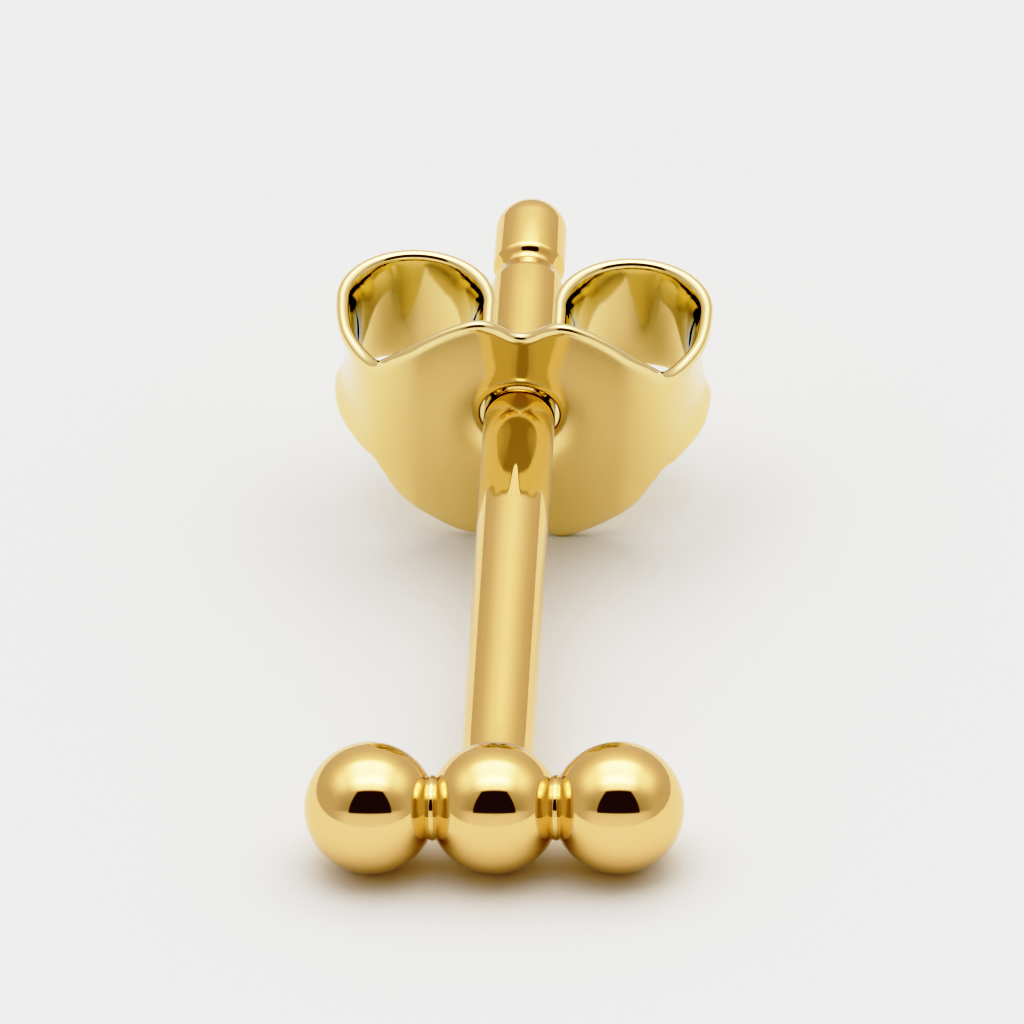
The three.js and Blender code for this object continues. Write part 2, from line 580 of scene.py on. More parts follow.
@dataclass
class EarStud:
    """The bar of three beads with the post soldered to its middle one. Sizes in millimetres."""

    # The beads, and the fine ring in each neck, which starts on a stub inside the middle bead.
    bead_radius: float = 0.826
    bead_spacing: float = 1.544
    ring_radius: float = 0.41
    ring_half_width: float = 0.07
    stub_length: float = 0.17
    stub_inset: float = 0.04
    # The post, the solder at its root, its tip and its groove.
    post_radius: float = 0.45
    post_length: float = 11.13
    fillet_radius: float = 0.07
    tip_flat_radius: float = 0.15
    groove_centre: float = 9.89
    groove_depth: float = 0.085
    groove_bead_side: float = 0.25
    groove_tip_side: float = 0.18
    # Where the plate is rubbed, and how much.
    rub_start: float = 0.3
    tip_rub_reach: float = 0.8
    tip_rub: float = 0.5
    bead_rub: float = 0.35
    # How finely it is turned, and the angle in degrees from which a seam shows.
    crease_angle: float = 24.0
    sides: int = 144
    bead_steps: int = 60
    fillet_steps: int = 8
    shank_steps: int = 23
    groove_steps: int = 16
    dome_steps: int = 18
    ring_steps: int = 28
    halvings: int = 50

    def post_profile(self) -> np.ndarray:
        """The middle bead, the solder fillet, the post, its groove and its domed tip.

        Returns:
            Radius and place along the post of each point.
        """
        reach = self.bead_radius + self.fillet_radius
        out = self.post_radius + self.fillet_radius
        rise = math.sqrt(reach**2 - out**2)
        solder = math.degrees(math.atan2(rise, out))
        bead = arc((0, 0), self.bead_radius, -90, solder, self.bead_steps)
        fillet = arc((out, rise), self.fillet_radius, solder + 180, 180, self.fillet_steps)[1:]
        shank_end = self.groove_centre - self.groove_bead_side
        shank = np.linspace(rise, shank_end, self.shank_steps + 1)[1:-1]
        flat_angle = math.degrees(math.acos(self.tip_flat_radius / self.post_radius))
        dome_place = self.post_length - self.post_radius * math.sin(math.radians(flat_angle))
        dome = arc((0, dome_place), self.post_radius, 0, flat_angle, self.dome_steps)
        return np.vstack(
            [
                bead,
                fillet,
                np.stack([np.full_like(shank, self.post_radius), shank], axis=1),
                self.groove(),
                dome,
                [[0, self.post_length]],
            ]
        )

    def groove(self) -> np.ndarray:
        """The rounded groove near the tip, with a steeper wall on the tip's side.

        Returns:
            Radius and place of each point.
        """
        low = self.groove_centre - self.groove_bead_side
        high = self.groove_centre + self.groove_tip_side
        walls = ((low, self.groove_centre), (self.groove_centre, high))
        falling, rising = (np.linspace(*wall, self.groove_steps + 1) for wall in walls)
        place = np.concatenate([falling[:-1], rising])
        width = np.where(place < self.groove_centre, self.groove_bead_side, self.groove_tip_side)
        depth = self.groove_depth * (1 - smoothstep(np.abs(place - self.groove_centre) / width, 0, 1))
        return np.stack([self.post_radius - depth, place], axis=1)

    def side_profile(self) -> np.ndarray:
        """One outer bead with the ring that joins it to the middle one.

        Returns:
            Radius and place along the bar of each point, from inside the middle bead outwards.
        """
        half = self.bead_spacing / 2
        core = self.ring_radius - self.ring_half_width
        meet = self.ring_meets_bead()
        ring_end = math.degrees(math.atan2(meet - half, self.radius_at(meet) - core))
        ring = arc((core, half), self.ring_half_width, -90, ring_end, self.ring_steps)
        bead_start = math.degrees(math.atan2(meet - self.bead_spacing, self.radius_at(meet)))
        bead = arc((0, self.bead_spacing), self.bead_radius, bead_start, 90, self.bead_steps)
        inside = half - self.stub_length
        stub = [[0, inside], [core - self.stub_inset, inside]]
        return np.vstack([stub, ring, bead[1:-1], [[0, bead[-1, 1]]]])

    def radius_at(self, place: float) -> float:
        """Radius of the outer bead's ball at a place along the bar."""
        return math.sqrt(self.bead_radius**2 - (place - self.bead_spacing) ** 2)

    def ring_meets_bead(self) -> float:
        """Place along the bar where the ring runs into the outer bead.

        Returns:
            The place, found by halving.
        """
        half = self.bead_spacing / 2
        core = self.ring_radius - self.ring_half_width
        low, high = half, half + self.ring_half_width
        for _ in range(self.halvings):
            place = (low + high) / 2
            ring = core + math.sqrt(self.ring_half_width**2 - (place - half) ** 2)
            low, high = (place, high) if ring > self.radius_at(place) else (low, place)
        return low

    def build(self, seat: PostFrame) -> bpy.types.Object:
        """Turns the parts and joins them into one solid.

        Args:
            seat: the post's frame.

        Returns:
            The ear stud.
        """
        points, faces = lathe(self.post_profile(), self.sides)
        stud = add_object("ear_stud_polished", make_mesh("ear_stud_polished", points, faces))
        points, faces = lathe(self.side_profile(), self.sides)
        for side in Side:
            turned = points[:, [1, 0, 2]] * [1, 1, -1]
            if side is Side.LEFT:
                turned = turned * [-1, 1, -1]
            outer = add_object("outer_bead", make_mesh("outer_bead", turned, faces))
            join = stud.modifiers.new("solder_" + side.name.lower(), "BOOLEAN")
            join.operation = "UNION"
            join.solver = "EXACT"
            join.object = outer
        view = bpy.context.evaluated_depsgraph_get()
        mesh = bpy.data.meshes.new_from_object(stud.evaluated_get(view))
        stud.modifiers.clear()
        for spare in [o for o in bpy.data.objects if o.name.startswith("outer_bead")]:
            bpy.data.objects.remove(spare)
        count = len(mesh.vertices)
        flat = np.empty(count * 3, np.float32)
        mesh.vertices.foreach_get("co", flat)
        own = flat.reshape(-1, 3).astype(float)
        self.mark_rubbing(mesh, own)
        mesh.vertices.foreach_set("co", seat.place(own).astype(np.float32).ravel())
        mesh.shade_smooth()
        mesh.set_sharp_from_angle(angle=math.radians(self.crease_angle))
        mesh.update()
        stud.data = mesh
        return stud

    def mark_rubbing(self, mesh: bpy.types.Mesh, own: np.ndarray) -> None:
        """Marks where the plate is rubbed: the beads' outer faces and the tip, never the necks.

        Args:
            mesh: the joined mesh.
            own: its vertices in the post's frame, in millimetres.
        """
        tip = smoothstep(own[:, 1], self.post_length - self.tip_rub_reach, self.post_length)
        front = smoothstep(-own[:, 1], self.rub_start, self.bead_radius)
        past_centre = np.abs(own[:, 0]) - self.bead_spacing
        ends = smoothstep(past_centre, self.rub_start, self.bead_radius)
        rubbed = np.clip(self.tip_rub * tip + self.bead_rub * front + self.bead_rub * ends, 0, 1)
        layer = mesh.attributes.new("rubbed", "FLOAT", "POINT")
        layer.data.foreach_set("value", rubbed.astype(np.float32))

    def dress(self, stud: bpy.types.Object) -> None:
        """Gives the stud its plate and hangs it on its body.

        Args:
            stud: the ear stud.
        """
        stud.data.materials.clear()
        stud.data.materials.append(MIRROR_PLATE.make())
        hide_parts("ear_stud")
        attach(stud, Body.STUD.value)


# ---------------------------------------------------------------- the butterfly back


@dataclass(frozen=True)
class Bend:
    """One stretch of the rolled arm: straight when it has no radius."""

    length: float
    radius: float | None = None

    @classmethod
    def turn(cls, radius: float, degrees: float) -> "Bend":
        """A bend of a radius through an angle."""
        return cls(radius * math.radians(degrees), radius)


# A length that is as good as nothing on the sheet, in millimetres.
TINY = 2e-4


@dataclass
class ButterflyBack:
    """The stamped and rolled sheet that grips the post. Sizes in millimetres."""

    # The sheet, its hole, and how it sits on the post, with angles in degrees.
    sheet: float = 0.17
    hole_radius: float = 0.50
    place_on_post: float = 7.226
    turn_on_post: float = 3.15
    pitch_on_post: float = 2.5
    # The blank's outline.
    crown_height: float = 1.978
    dip_depth: float = 0.433
    dip_width: float = 0.346
    arm_height: float = 0.762
    notch_rise: float = 0.133
    notch_ease: float = 0.15
    lobe_roundness: float = 1.824
    lobe_fall: float = 0.898
    end_rounding: float = 0.25
    # How the disc is dished and drawn, and how the arms flare, lean, drop and are nicked.
    rim_depth: float = 0.227
    rim_power: float = 4.0
    disc_ease: tuple[float, float] = (-0.5, 0.1)
    arm_ease: tuple[float, float] = (-0.1, 0.9)
    arm_flare: float = 0.162
    flare_power: float = 3.0
    arm_lean: float = 0.1
    arm_drop: float = 0.12
    nick_depth: float = 0.08
    nick_width: float = 0.14
    dimple_depth: float = 0.24
    dimple_radius: float = 0.62
    dimple_power: float = 4.0
    # The roll, from the hole to an arm's end.
    roll: tuple[Bend, ...] = (
        Bend(1.637),
        Bend.turn(0.25, 59.6),
        Bend.turn(2.277, 30.4),
        Bend.turn(0.8, 180),
        Bend(0.5),
        Bend.turn(0.6, 35),
    )
    # How wide the rubbed edge is, and how finely the sheet is laid out.
    rub_width: float = 0.102
    edge_steps: int = 6
    disc_steps: int = 26
    arm_row_steps: int = 8
    arm_end_steps: int = 24
    arm_edge_steps: int = 240
    outline_step: float = 0.045
    outline_samples: int = 6001
    corner_crowding: float = 2.4
    corner_places: tuple[float, ...] = (0, 0.006, 0.014, 0.026, 0.042, 0.064, 0.092)
    least_facing: float = 0.6
    arm_step: float = 0.035
    block_size: int = 2000

    @property
    def arm_length(self) -> float:
        """Length of the blank from the hole to an arm's end."""
        return sum(bend.length for bend in self.roll)

    @property
    def notch(self) -> float:
        """Length from the hole to the notch between the disc and an arm, midway round a bend."""
        disc, first_bend = self.roll[:2]
        return disc.length + first_bend.length / 2

    @property
    def notch_height(self) -> float:
        """Half height of the blank at the notch."""
        return self.arm_height + self.notch_rise

    def rolled_line(self, length: np.ndarray) -> tuple[np.ndarray, np.ndarray, np.ndarray]:
        """Where the rolled sheet's middle line is at a length from the hole.

        Args:
            length: lengths along the blank, none negative.

        Returns:
            Places along the bar and along the post, and the heading in radians.
        """
        x = np.zeros_like(length)
        y = np.zeros_like(length)
        heading = np.zeros_like(length)
        start, begun = 0.0, 0.0
        for bend in self.roll:
            longest = np.inf if bend is self.roll[-1] else bend.length
            going = np.clip(length - start, 0, longest)
            if bend.radius is None:
                x += going * math.cos(begun)
                y += going * math.sin(begun)
            else:
                turned = begun + going / bend.radius
                x += bend.radius * (np.sin(turned) - math.sin(begun))
                y += bend.radius * (math.cos(begun) - np.cos(turned))
                heading += going / bend.radius
                begun += bend.length / bend.radius
            start += bend.length
        return x, y, heading

    def half_height(self, length: np.ndarray) -> np.ndarray:
        """Half height of the blank: a dip at the middle, a lobe, then the arm and its rounded end.

        Args:
            length: lengths along the blank, none negative.

        Returns:
            The half heights.
        """
        fall = (1 - np.clip(length / self.notch, 0, 1) ** self.lobe_roundness) ** self.lobe_fall
        dip = self.dip_depth * np.exp(-((length / self.dip_width) ** 2))
        lobe = self.notch_height + (self.crown_height - self.notch_height) * fall - dip
        to_end = np.clip((self.arm_length - length) / self.end_rounding, 0, 1)
        rounding = self.end_rounding * (1 - np.sqrt(1 - (1 - to_end) ** 2))
        return np.where(length < self.notch, lobe, self.arm_edge(length) - rounding)

    def arm_edge(self, length: np.ndarray) -> np.ndarray:
        """Half height of an arm, which widens towards the notch, before its end is rounded."""
        rise = np.exp(-np.maximum(length - self.notch, 0) / self.notch_ease)
        return self.arm_height + self.notch_rise * rise

    def middle(self, length: np.ndarray, height: np.ndarray) -> np.ndarray:
        """The sheet's middle surface.

        Args:
            length: signed lengths from the hole.
            height: heights on the blank.

        Returns:
            Points in the post's frame, from the back's own place.
        """
        side = np.where(length < 0, -1.0, 1.0)
        x, y, heading = self.rolled_line(np.abs(length))
        past_notch = np.abs(length) - self.notch
        on_arm = smoothstep(past_notch, *self.arm_ease)
        on_disc = 1 - smoothstep(past_notch, *self.disc_ease)
        sideways = on_arm * np.sin(heading) ** 2
        flare = self.arm_flare * sideways * (np.abs(height) / self.arm_height) ** self.flare_power
        from_hole = np.hypot(length, height)
        rim = self.rim_depth * on_disc * (from_hole / self.crown_height) ** self.rim_power
        dimple = self.dimple_depth * np.exp(-((from_hole / self.dimple_radius) ** self.dimple_power))
        backward = np.maximum(0, -np.cos(heading))
        lean = self.arm_lean * backward * height
        drop = self.arm_drop * backward * (1 - height / self.arm_height) / 2
        low_edge = (np.minimum(height, 0) / self.arm_height) ** 2
        nick = self.nick_depth * low_edge * np.exp(-((past_notch / self.nick_width) ** 2))
        out = flare + rim + lean - dimple
        across, back, up = x + out * np.sin(heading), y - out * np.cos(heading), height - drop + nick
        return np.stack([side * across, back, up], axis=-1)

    def normal(self, length: np.ndarray, height: np.ndarray) -> np.ndarray:
        """The middle surface's normal, towards the beads on the disc.

        Args:
            length: signed lengths from the hole.
            height: heights on the blank.

        Returns:
            Unit normals.
        """
        along = self.middle(length + TINY, height) - self.middle(length - TINY, height)
        across = self.middle(length, height + TINY) - self.middle(length, height - TINY)
        normal = np.cross(along, across)
        return normal / np.linalg.norm(normal, axis=-1, keepdims=True)

    def outline(self) -> np.ndarray:
        """The blank's outline over one quarter, from the notch's corner to the dip above the hole.

        Returns:
            Length and height of each point, evenly spaced but closer together at the corner.
        """
        share = np.linspace(0, 1, self.outline_samples)
        length = self.notch * (1 - share**self.corner_crowding)
        curve = np.stack([length, self.half_height(length)], axis=1)
        curve[0, 1] = self.notch_height
        travelled = np.concatenate([[0], np.cumsum(np.linalg.norm(np.diff(curve, axis=0), axis=1))])
        near = np.array(self.corner_places)
        count = round((travelled[-1] - near[-1]) / self.outline_step)
        wanted = np.concatenate([near, np.linspace(near[-1], travelled[-1], count + 1)[1:]])
        return np.stack([np.interp(wanted, travelled, curve[:, i]) for i in (0, 1)], axis=1)

    def edge_insets(self) -> np.ndarray:
        """Distances from the edge at even turns round its full-round section."""
        turn = np.linspace(0, np.pi / 2, self.edge_steps + 1)
        return self.sheet / 2 * (1 - np.cos(turn))

    def arm_rows(self) -> np.ndarray:
        """Heights of the arm's rows on its upper half, from the middle to the edge."""
        edge = self.arm_height - self.edge_insets()[::-1]
        return np.concatenate([np.linspace(0, edge[0], self.arm_row_steps + 1)[:-1], edge])

    def from_edge(self, length: np.ndarray, height: np.ndarray) -> np.ndarray:
        """Distance of points of the blank from its outline and from the hole's edge.

        Args:
            length: signed lengths from the hole.
            height: heights on the blank.

        Returns:
            The distances, none negative.
        """
        line = self.outline_line()
        here = np.stack([np.abs(length), np.abs(height)], axis=1)
        nearest = np.hypot(here[:, 0], here[:, 1]) - self.hole_radius
        start, run = line[:-1], np.diff(line, axis=0)
        squared = (run**2).sum(1)
        for block in np.array_split(np.arange(len(here)), max(1, len(here) // self.block_size)):
            gap = here[block, None, :] - start[None]
            share = np.clip((gap * run).sum(-1) / squared, 0, 1)
            away = np.linalg.norm(gap - share[..., None] * run, axis=-1).min(1)
            nearest[block] = np.minimum(nearest[block], away)
        return np.maximum(nearest, 0)

    def outline_line(self) -> np.ndarray:
        """The whole outline of one quarter of the blank, from the dip to the arm's end.

        Returns:
            Length and height of each point.
        """
        disc = self.outline()[::-1]
        straight = self.arm_length - self.end_rounding
        along = np.linspace(self.notch, straight, self.arm_edge_steps + 1)[1:]
        edge = np.stack([along, self.arm_edge(along)], axis=1)
        turn = np.linspace(0, np.pi / 2, self.arm_end_steps + 1)[1:]
        out = self.arm_length - self.end_rounding * (1 - np.sin(turn))
        up = self.arm_height - self.end_rounding + self.end_rounding * np.cos(turn)
        past_middle = [[self.arm_length, -0.01]]
        return np.vstack([disc, edge, np.stack([out, up], axis=1), past_middle])

    def disc_rays(self) -> np.ndarray:
        """Points on the disc's border, once round: where its rays from the hole end.

        Returns:
            Length and height of each point, turning from +length towards +height.
        """
        rows = self.arm_rows()[:-1] * self.notch_height / self.arm_height
        quarter = np.vstack([np.stack([np.full_like(rows, self.notch), rows], axis=1), self.outline()])
        upper = np.vstack([quarter, quarter[-2::-1] * [-1, 1]])
        return np.vstack([upper, upper[-2:0:-1] * [1, -1]])

    def disc_points(self) -> np.ndarray:
        """The disc's net of points on the blank.

        Returns:
            Length and height, for each ray and each step from the hole to the border.
        """
        border = self.disc_rays()
        reach = np.linalg.norm(border, axis=1)
        way = border / reach[:, None]
        tangent = np.roll(border, -1, axis=0) - np.roll(border, 1, axis=0)
        tangent /= np.linalg.norm(tangent, axis=1, keepdims=True)
        facing = np.abs(way[:, 0] * tangent[:, 1] - way[:, 1] * tangent[:, 0])
        insets = self.edge_insets()
        rim = insets[None] / np.maximum(facing, self.least_facing)[:, None]
        lip = self.hole_radius + insets
        share = np.linspace(0, 1, self.disc_steps + 1)[1:-1]
        outer = reach - rim[:, -1]
        middle = lip[-1] + (outer - lip[-1])[:, None] * share
        lips = np.repeat(lip[None], len(reach), axis=0)
        radius = np.concatenate([lips, middle, reach[:, None] - rim[:, ::-1]], axis=1)
        return radius[..., None] * way[:, None, :]

    def arm_points(self, side: Side) -> np.ndarray:
        """One arm's net of points on the blank.

        Args:
            side: which arm.

        Returns:
            Length and height, for each column from the notch to the end and each row upwards.
        """
        upper = self.arm_rows()
        rows = np.concatenate([-upper[:0:-1], upper])
        last = self.arm_length - self.edge_insets()[::-1]
        count = round((last[0] - self.notch) / self.arm_step)
        columns = np.concatenate([np.linspace(self.notch, last[0], count + 1)[:-1], last])
        height = rows[None] * (self.half_height(columns) / self.arm_height)[:, None]
        return np.stack([np.repeat(side.value * columns[:, None], len(rows), axis=1), height], axis=-1)

    def build(self, seat: PostFrame) -> bpy.types.Object:
        """Lays the nets of the disc and the arms, thickens them and joins their skins.

        Args:
            seat: the post's frame.

        Returns:
            The butterfly back.
        """
        disc = self.disc_points()
        nets = [disc] + [self.arm_points(side) for side in Side]
        blank = np.vstack([net.reshape(-1, 2) for net in nets])
        starts = np.cumsum([0] + [net.shape[0] * net.shape[1] for net in nets])
        quads = [net_faces(net.shape, start) for net, start in zip(nets, starts)]
        rays, across = disc.shape[:2]
        last = (rays - 1) * across
        quads[0] += [(last + step, last + step + 1, step + 1, step) for step in range(across - 1)]
        gap = self.from_edge(blank[:, 0], blank[:, 1])
        return self.thicken(seat, blank, gap, [face for part in quads for face in part])

    def thicken(
        self, seat: PostFrame, blank: np.ndarray, gap: np.ndarray, quads: Faces
    ) -> bpy.types.Object:
        """Gives the net its two skins, which share every point of the rim.

        Args:
            seat: the post's frame.
            blank: points of the net on the blank.
            gap: each point's distance from the edge.
            quads: the net's faces.

        Returns:
            The back as one closed mesh.
        """
        keys = np.round(blank, 6)
        _, kept, shared = np.unique(keys, axis=0, return_index=True, return_inverse=True)
        shared = shared.reshape(-1)
        points, edge = blank[kept], gap[kept]
        edge = np.where(edge < TINY, 0, edge)
        share = np.minimum(edge / (self.sheet / 2), 1)
        half = self.sheet / 2 * np.sqrt(1 - (1 - share) ** 2)
        middle = self.middle(points[:, 0], points[:, 1])
        normal = self.normal(points[:, 0], points[:, 1])
        inner = np.flatnonzero(edge > 0)
        rear = np.arange(len(points))
        rear[inner] = len(points) + np.arange(len(inner))
        front_skin, rear_skin = (middle + normal * (skin.value * half)[:, None] for skin in Skin)
        body = np.vstack([front_skin, rear_skin[inner]])
        faces = []
        for quad in quads:
            front = [int(shared[i]) for i in quad]
            corner = points[front]
            after = np.roll(corner, -1, axis=0)
            if (corner[:, 0] * after[:, 1] - after[:, 0] * corner[:, 1]).sum() < 0:
                front = front[::-1]
            for face in (front, [int(rear[i]) for i in reversed(front)]):
                tidy = [p for at, p in enumerate(face) if p != face[at - 1]]
                if len(tidy) > 2:
                    faces.append(tuple(tidy))
        pitch = Matrix.Rotation(math.radians(self.pitch_on_post), 3, "X")
        turn = Matrix.Rotation(math.radians(self.turn_on_post), 3, "Y")
        body = body @ np.array(turn @ pitch).T
        body[:, 1] += self.place_on_post
        mesh = make_mesh("butterfly_back_rolled", seat.place(body), faces)
        back = add_object("butterfly_back_rolled", mesh)
        worn = np.exp(-((np.concatenate([edge, edge[inner]]) / self.rub_width) ** 2))
        layer = back.data.attributes.new("rubbed", "FLOAT", "POINT")
        layer.data.foreach_set("value", worn.astype(np.float32))
        return back

    def dress(self, back: bpy.types.Object) -> None:
        """Gives the back its plate and hangs it on its body.

        Args:
            back: the butterfly back.
        """
        back.data.materials.append(TUMBLED_PLATE.make())
        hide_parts("butterfly_back")
        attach(back, Body.BACK.value)


# ---------------------------------------------------------------- floor, light and camera


@dataclass
class PaperFloor:
    """The pale paper that the earring lies on. Sizes in metres."""

    half_size: float = 1.5
    steps: int = 24

    def build(self) -> bpy.types.Object:
        """Lays the paper.

        Returns:
            The floor.
        """
        line = np.linspace(-self.half_size, self.half_size, self.steps + 1)
        x, y = np.meshgrid(line, line)
        points = np.stack([x, y, np.zeros_like(x)], axis=-1).reshape(-1, 3)
        floor = add_object("paper_floor", make_mesh("paper_floor", points, net_faces(x.shape)))
        floor.data.materials.append(SweepPaper().make())
        return floor


@dataclass
class Camera:
    """A long lens looking down on the earring. Angles in degrees, lengths in millimetres."""

    turn: float = 4.1
    elevation: float = 33.816
    roll: float = -2.35
    distance: float = 590.0
    view_width: float = 12.8
    sensor: float = 36.0

    def build(self, centre: Vector) -> bpy.types.Object:
        """Sets the camera up.

        Args:
            centre: what it looks at, in metres.

        Returns:
            The camera, which is also the scene's.
        """
        data = bpy.data.cameras.new("long_lens")
        data.sensor_width = self.sensor
        data.lens = self.sensor * self.distance / self.view_width
        data.clip_start = 0.01
        data.clip_end = 10.0
        data.dof.use_dof = False
        camera = bpy.data.objects.new("long_lens", data)
        bpy.context.scene.collection.objects.link(camera)
        turn, rise = math.radians(self.turn), math.radians(self.elevation)
        level = math.cos(rise)
        away = Vector((math.sin(turn) * level, -math.cos(turn) * level, math.sin(rise)))
        aim = (-away).to_track_quat("-Z", "Y").to_matrix().to_4x4()
        tilt = Matrix.Rotation(math.radians(self.roll), 4, "Z")
        camera.matrix_world = Matrix.Translation(centre + away * self.distance * MM) @ aim @ tilt
        bpy.context.scene.camera = camera
        return camera


@dataclass
class LightTent:
    """A white light tent: pale walls, a soft ceiling light, and the dark opening for the lens.

    Rise is the angle in degrees over the ceiling, from the floor under the lens (0) past straight
    up (90) to the floor behind (180). Spread is the angle to either side of that plane. The stops
    are rise and level, where the lit paper's level is 1. Light that leaves the gold twice is kept
    warm rather than red, finds the opening half lit by the haze between the two faces, and takes a
    second look: from higher up where it comes in low, and over a wider spread.
    """

    lens: Camera
    brightest: float = 2.6
    ceiling: tuple[tuple[float, float], ...] = (
        (0, 0.90),
        (12.3, 0.86),
        (24.3, 0.80),
        (28.3, 0.46),
        (58.3, 0.58),
        (64.3, 0.62),
        (66.8, 1.22),
        (74.3, 1.62),
        (82.3, 2.45),
        (90.3, 2.25),
        (98.3, 1.90),
        (108.3, 2.00),
        (116.3, 2.10),
        (122.3, 1.86),
        (126.3, 1.34),
        (130.3, 1.02),
        (138.3, 0.88),
        (150.3, 0.74),
        (180, 0.64),
    )
    wall: tuple[tuple[float, float], ...] = (
        (0, 0.88),
        (12.3, 0.84),
        (22.3, 0.80),
        (29.3, 0.46),
        (48.3, 0.52),
        (60.3, 0.61),
        (70.3, 0.80),
        (82.3, 1.12),
        (98.3, 1.28),
        (110.3, 1.22),
        (122.3, 1.02),
        (134.3, 0.84),
        (148.3, 0.70),
        (180, 0.60),
    )
    side_level: float = 0.62
    ceiling_spread: tuple[float, float] = (12, 38)
    wall_spread: tuple[float, float] = (38, 70)
    opening_rise: tuple[float, float] = (23.8, 63.8)
    opening_spread: tuple[float, float] = (37.5, 21.0)
    opening_level: tuple[float, float] = (0.13, 0.40)
    second_look: float = 27.0
    second_rise: tuple[float, float] = (18.0, 60.0)
    second_spread: float = 2.1
    green_kept: float = 1.24
    blue_kept: float = 1.80
    most_extra_faces: float = 8.0
    softness: float = 1.5
    backdrop: str = "#FDFDFD"

    def build(self) -> None:
        """Builds the tent as the world's light."""
        world = bpy.data.worlds.new("light_tent")
        bpy.context.scene.world = world
        world.use_nodes = True
        tree = world.node_tree
        tree.nodes.clear()
        rise, spread = self.bearings(tree)
        path = add_node(tree, "LightPath").outputs
        low, high = self.second_rise
        lifted = add_node(
            tree,
            "MapRange",
            {"interpolation_type": "SMOOTHSTEP"},
            {"Value": rise, "From Min": low, "From Max": high, "To Min": self.second_look, "To Max": 0.0},
        ).outputs["Result"]
        lift, wider, opening_level = (
            add_node(
                tree,
                "MapRange",
                inputs={
                    "Value": path["Glossy Depth"],
                    "From Min": 1.0,
                    "From Max": 2.0,
                    "To Min": first,
                    "To Max": second,
                },
            ).outputs["Result"]
            for first, second in ((0.0, lifted), (1.0, self.second_spread), self.opening_level)
        )
        rise = add_node(tree, "Math", {"operation": "ADD"}, {0: rise, 1: lift}).outputs[0]
        spread = add_node(tree, "Math", {"operation": "MULTIPLY"}, {0: spread, 1: wider}).outputs[0]
        level = add_node(
            tree,
            "Mix",
            {"data_type": "FLOAT"},
            {0: self.opening(tree, rise, spread), 2: self.cloth(tree, rise, spread), 3: opening_level},
        ).outputs[0]
        light = self.warmed(tree, level, path["Glossy Depth"])
        glow = add_node(tree, "Background", inputs={"Color": light})
        plain = add_node(tree, "Background", inputs={"Color": linear(self.backdrop)})
        both = add_node(
            tree,
            "MixShader",
            inputs={0: path["Is Camera Ray"], 1: glow.outputs[0], 2: plain.outputs[0]},
        )
        add_node(tree, "OutputWorld", inputs={"Surface": both.outputs[0]})

    def bearings(self, tree: Tree) -> tuple[Socket, Socket]:
        """Finds where in the tent a direction points.

        Args:
            tree: the world's nodes.

        Returns:
            The direction's rise and its spread, in degrees.
        """
        way = add_node(tree, "TexCoord").outputs["Generated"]
        turned = add_node(
            tree,
            "VectorRotate",
            {"rotation_type": "Z_AXIS"},
            {"Vector": way, "Angle": -math.radians(self.lens.turn)},
        )
        lens_rise = math.radians(self.lens.elevation)
        levelled = add_node(
            tree,
            "VectorRotate",
            {"rotation_type": "AXIS_ANGLE"},
            {
                "Vector": turned.outputs[0],
                "Axis": (0.0, -math.cos(lens_rise), math.sin(lens_rise)),
                "Angle": -math.radians(self.lens.roll),
            },
        )
        parts = add_node(tree, "SeparateXYZ", inputs={0: levelled.outputs[0]}).outputs
        front = add_node(tree, "Math", {"operation": "MULTIPLY"}, {0: parts["Y"], 1: -1.0}).outputs[0]
        over = add_node(tree, "Math", {"operation": "ARCTAN2"}, {0: parts["Z"], 1: front}).outputs[0]
        rise = add_node(tree, "Math", {"operation": "DEGREES"}, {0: over}).outputs[0]
        across = add_node(tree, "Math", {"operation": "ABSOLUTE"}, {0: parts["X"]}).outputs[0]
        aside = add_node(tree, "Math", {"operation": "ARCSINE"}, {0: across}).outputs[0]
        spread = add_node(tree, "Math", {"operation": "DEGREES"}, {0: aside}).outputs[0]
        return rise, spread

    def cloth(self, tree: Tree, rise: Socket, spread: Socket) -> Socket:
        """The tent's cloth: bright over the middle, paler on the walls, dim far to the sides.

        Args:
            tree: the world's nodes.
            rise: the direction's rise.
            spread: the direction's spread.

        Returns:
            The cloth's level.
        """
        along = add_node(tree, "Math", {"operation": "DIVIDE"}, {0: rise, 1: HALF_TURN}).outputs[0]
        level = self.side_level
        for stops, limits in ((self.wall, self.wall_spread), (self.ceiling, self.ceiling_spread)):
            ramp = add_node(tree, "ValToRGB", inputs={"Fac": along})
            ramp_stops(ramp, [(place / HALF_TURN, stop / self.brightest) for place, stop in stops])
            shade = add_node(
                tree,
                "Math",
                {"operation": "MULTIPLY"},
                {0: ramp.outputs["Color"], 1: self.brightest},
            ).outputs[0]
            past = add_node(
                tree,
                "MapRange",
                {"interpolation_type": "SMOOTHSTEP"},
                {"Value": spread, "From Min": limits[0], "From Max": limits[1]},
            ).outputs["Result"]
            level = add_node(tree, "Mix", {"data_type": "FLOAT"}, {0: past, 2: shade, 3: level}).outputs[0]
        return level

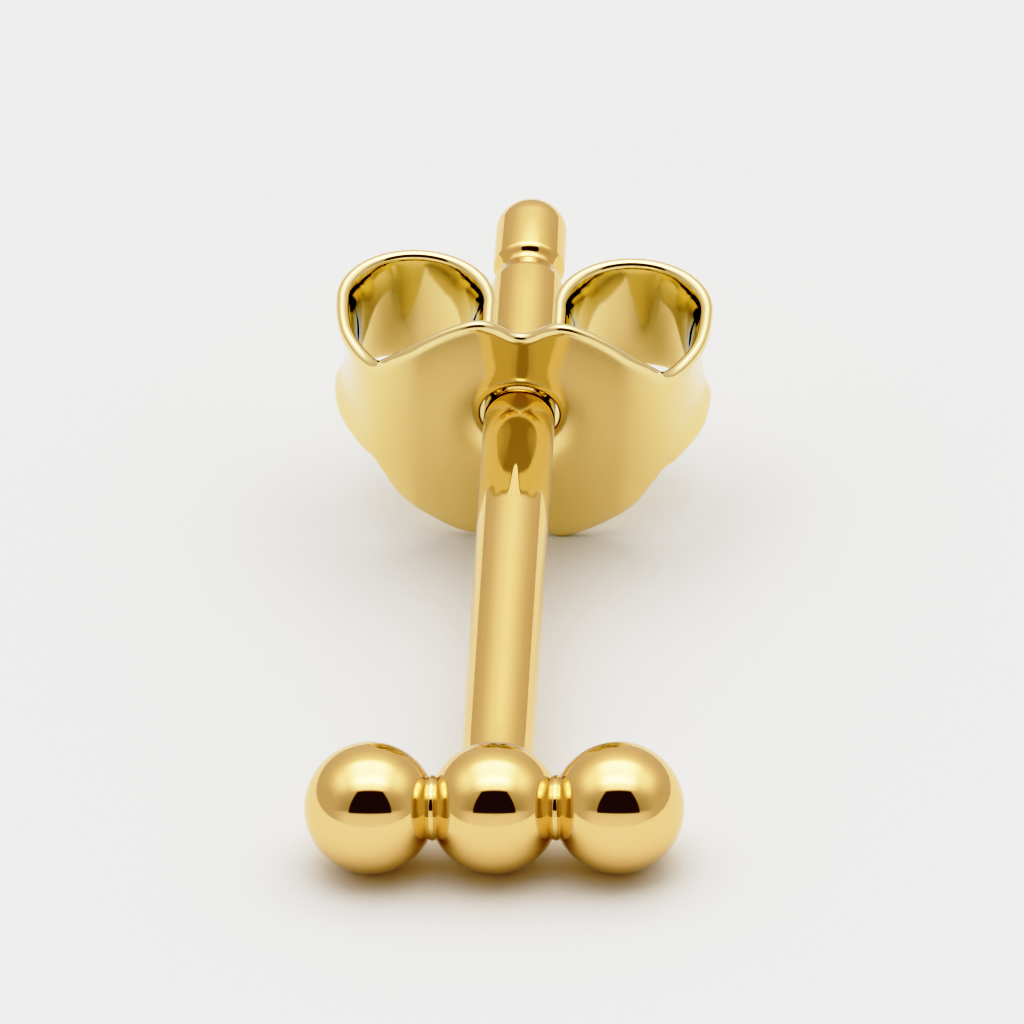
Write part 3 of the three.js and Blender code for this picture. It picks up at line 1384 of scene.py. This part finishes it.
    def opening(self, tree: Tree, rise: Socket, spread: Socket) -> Socket:
        """The dark opening, narrower at its top.

        Args:
            tree: the world's nodes.
            rise: the direction's rise.
            spread: the direction's spread.

        Returns:
            1 inside the opening and 0 outside it.
        """
        low, high = self.opening_rise
        wide, narrow = self.opening_spread
        share = add_node(
            tree, "MapRange", inputs={"Value": rise, "From Min": low, "From Max": high}
        ).outputs["Result"]
        bowed = add_node(tree, "Math", {"operation": "POWER"}, {0: share, 1: 2.0}).outputs[0]
        reach = add_node(
            tree,
            "MapRange",
            inputs={"Value": bowed, "To Min": wide, "To Max": narrow},
        ).outputs["Result"]
        inside = 1.0
        for first, second in ((reach, spread), (rise, low), (high, rise)):
            depth = add_node(tree, "Math", {"operation": "SUBTRACT"}, {0: first, 1: second}).outputs[0]
            step = add_node(
                tree,
                "MapRange",
                {"interpolation_type": "SMOOTHSTEP"},
                {"Value": depth, "From Min": -self.softness, "From Max": self.softness},
            ).outputs["Result"]
            inside = add_node(tree, "Math", {"operation": "MULTIPLY"}, {0: step, 1: inside}).outputs[0]
        return inside

    def warmed(self, tree: Tree, level: Socket, faces: Socket) -> Socket:
        """Keeps green and blue in light that leaves the gold more than once.

        Args:
            tree: the world's nodes.
            level: the light's level.
            faces: how many gold faces mirror it.

        Returns:
            The light's colour.
        """
        most = self.most_extra_faces
        extra = add_node(
            tree,
            "MapRange",
            inputs={"Value": faces, "From Min": 1.0, "From Max": most + 1, "To Min": 0.0, "To Max": most},
        ).outputs["Result"]
        light = add_node(tree, "CombineColor", inputs={"Red": level})
        for part, share in (("Green", self.green_kept), ("Blue", self.blue_kept)):
            kept = add_node(tree, "Math", {"operation": "POWER"}, {0: share, 1: extra}).outputs[0]
            tint = add_node(tree, "Math", {"operation": "MULTIPLY"}, {0: level, 1: kept}).outputs[0]
            tree.links.new(tint, light.inputs[part])
        return light.outputs["Color"]


@dataclass
class Development:
    """How light turns into the picture's tones: a firm toe, and a soft shoulder for the highlights."""

    gain: float = 1.264
    black: float = 0.182
    toe: float = 0.02
    shoulder: float = 0.55
    longest: float = 4.0
    steps: int = 30
    crowding: float = 1.6

    def tone(self, light: float) -> float:
        """The tone that a level of light gives.

        Args:
            light: the level, with the lit paper at 1.

        Returns:
            The tone, from 0 to 1.
        """
        straight = self.gain * light - self.black
        lifted = (straight + math.sqrt(straight**2 + self.toe**2)) / 2
        if lifted <= self.shoulder:
            return lifted
        room = 1 - self.shoulder
        return 1 - room * math.exp(-(lifted - self.shoulder) / room)

    def apply(self) -> None:
        """Sets the scene's view to this tone curve."""
        settings = bpy.context.scene.view_settings
        settings.view_transform = "Standard"
        settings.look = "None"
        settings.use_curve_mapping = True
        mapping = settings.curve_mapping
        mapping.use_clip = False
        mapping.clip_max_x = self.longest
        curve = mapping.curves[3]
        shares = [step / self.steps for step in range(self.steps + 1)]
        levels = [self.longest * share**self.crowding for share in shares]
        while len(curve.points) < len(levels):
            curve.points.new(1.0, 1.0)
        for point, level in zip(curve.points, levels):
            point.location = (level, self.tone(level))
            point.handle_type = "VECTOR"
        mapping.update()


def report(piece: bpy.types.Object) -> None:
    """Says what a piece is made of."""
    mesh = piece.data
    LOG.info("%s: %d vertices, %d faces", piece.name, len(mesh.vertices), len(mesh.polygons))


def main() -> None:
    """Builds the earring, its floor, its light and its camera."""
    logging.basicConfig(level=logging.INFO, format="%(name)s %(message)s")
    stud = EarStud()
    seat = PostFrame.of_record(frame["record"], stud.post_length)
    stud_piece = stud.build(seat)
    stud.dress(stud_piece)
    report(stud_piece)
    back = ButterflyBack()
    back_piece = back.build(seat)
    back.dress(back_piece)
    report(back_piece)
    report(PaperFloor().build())
    camera = Camera()
    low, high = CAD_BOX
    camera.build((low + high) / 2)
    LightTent(lens=camera).build()
    Development().apply()


if __name__ == "__main__":
    main()
